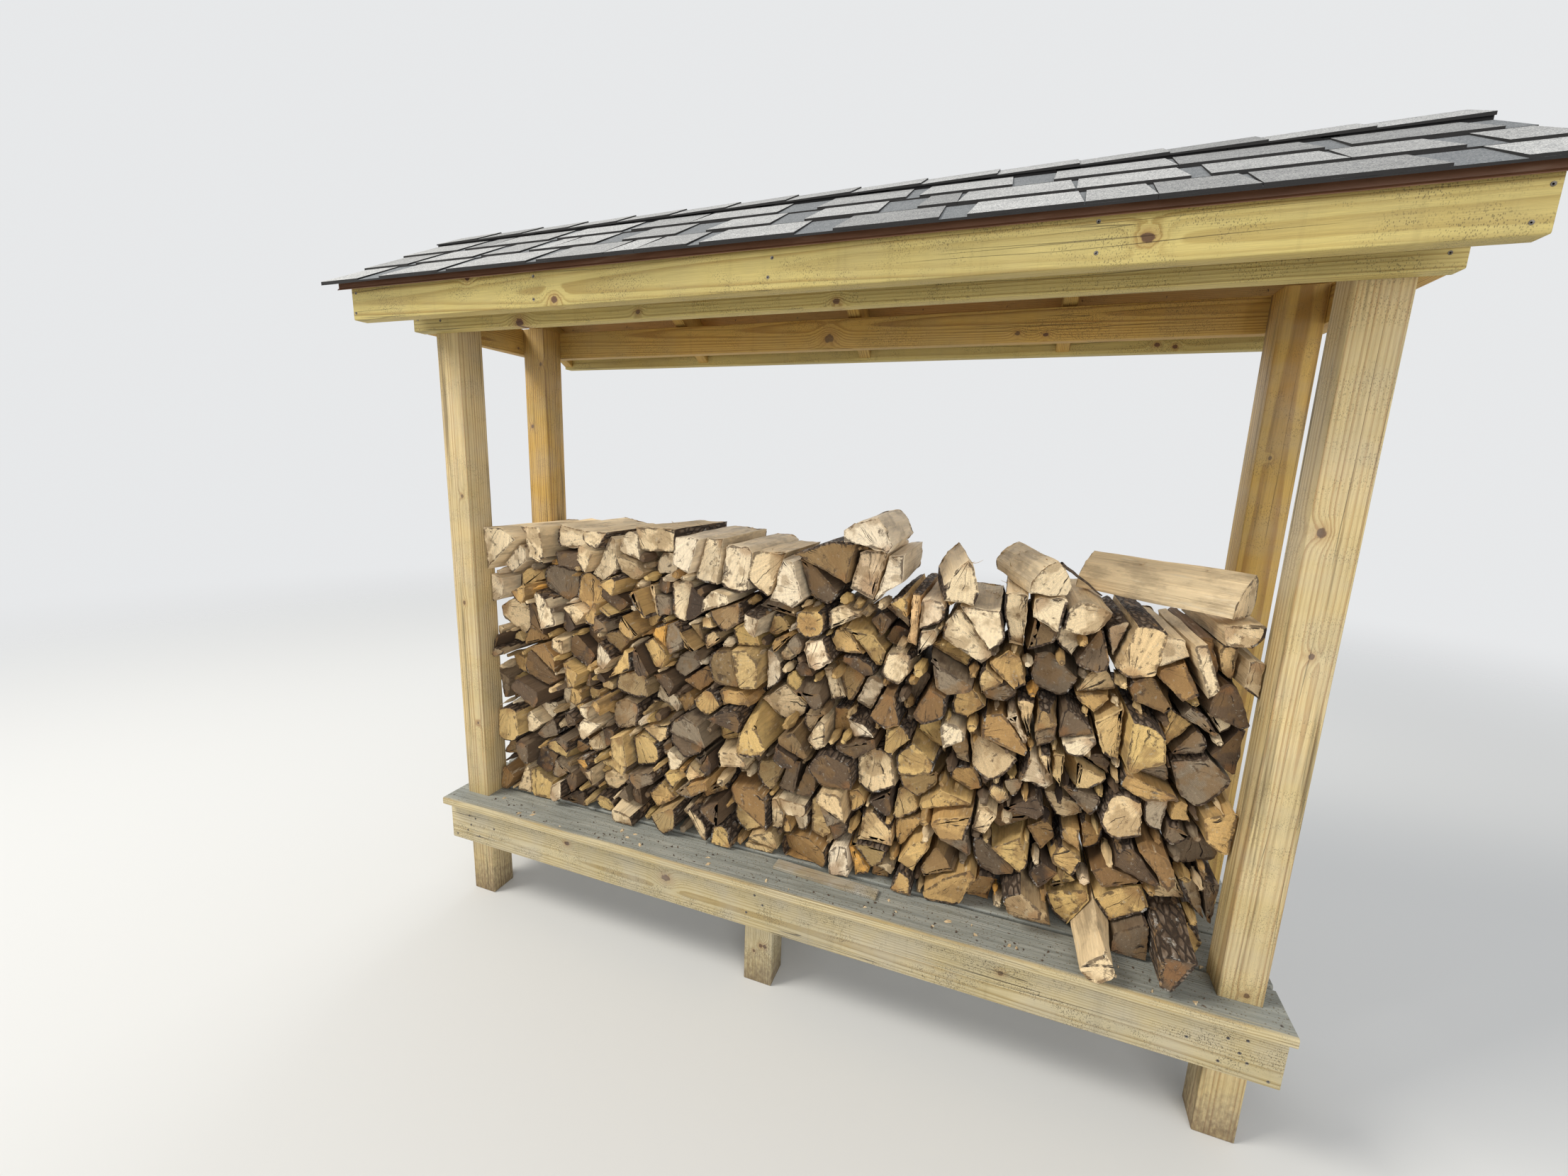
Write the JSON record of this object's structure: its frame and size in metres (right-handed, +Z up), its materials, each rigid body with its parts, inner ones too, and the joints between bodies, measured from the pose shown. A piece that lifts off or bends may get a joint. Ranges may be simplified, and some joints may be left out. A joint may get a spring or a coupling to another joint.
{
  "type": "covered log store",
  "caption": "Open timber log store on short legs with a raised board deck, a shingled gable roof and a stack of split firewood.",
  "frame": {"origin": "centre of the footprint, at the level of the leg bottoms", "axes": "+X to the right along the store seen from its front, +Y from the open front to the back, +Z up"},
  "size_m": [2.578, 0.964, 2.2659],
  "materials": {
    "lumber": "matte",
    "deck_boards": "matte",
    "sheathing": "matte",
    "firewood": "matte",
    "shingles": "matte",
    "flashing": "satin"
  },
  "bodies": {
    "root": {"deck_board_1": "deck_boards", "deck_board_2": "deck_boards", "deck_board_3": "deck_boards", "deck_board_4": "deck_boards", "deck_joists": "lumber", "drip_edge_back": "flashing", "drip_edge_front": "flashing", "fascia_back": "lumber", "fascia_front": "lumber", "header_back": "lumber", "header_front": "lumber", "leg_back_middle": "lumber", "leg_front_middle": "lumber", "log_stack_1": "firewood", "log_stack_2": "firewood", "log_stack_3": "firewood", "log_stack_4": "firewood", "log_stack_5": "firewood", "log_stack_6": "firewood", "loose_logs": "firewood", "post_back_left": "lumber", "post_back_right": "lumber", "post_front_left": "lumber", "post_front_right": "lumber", "rafters_back": "lumber", "rafters_front": "lumber", "ridge_board": "lumber", "ridge_caps": "shingles", "rim_back": "lumber", "rim_front": "lumber", "rim_left": "lumber", "rim_right": "lumber", "sheathing_back": "sheathing", "sheathing_front": "sheathing", "shingle_course_back_1": "shingles", "shingle_course_back_2": "shingles", "shingle_course_back_3": "shingles", "shingle_course_back_4": "shingles", "shingle_course_front_1": "shingles", "shingle_course_front_2": "shingles", "shingle_course_front_3": "shingles", "shingle_course_front_4": "shingles", "side_beam_left": "lumber", "side_beam_right": "lumber"}
  },
  "joints": []
}
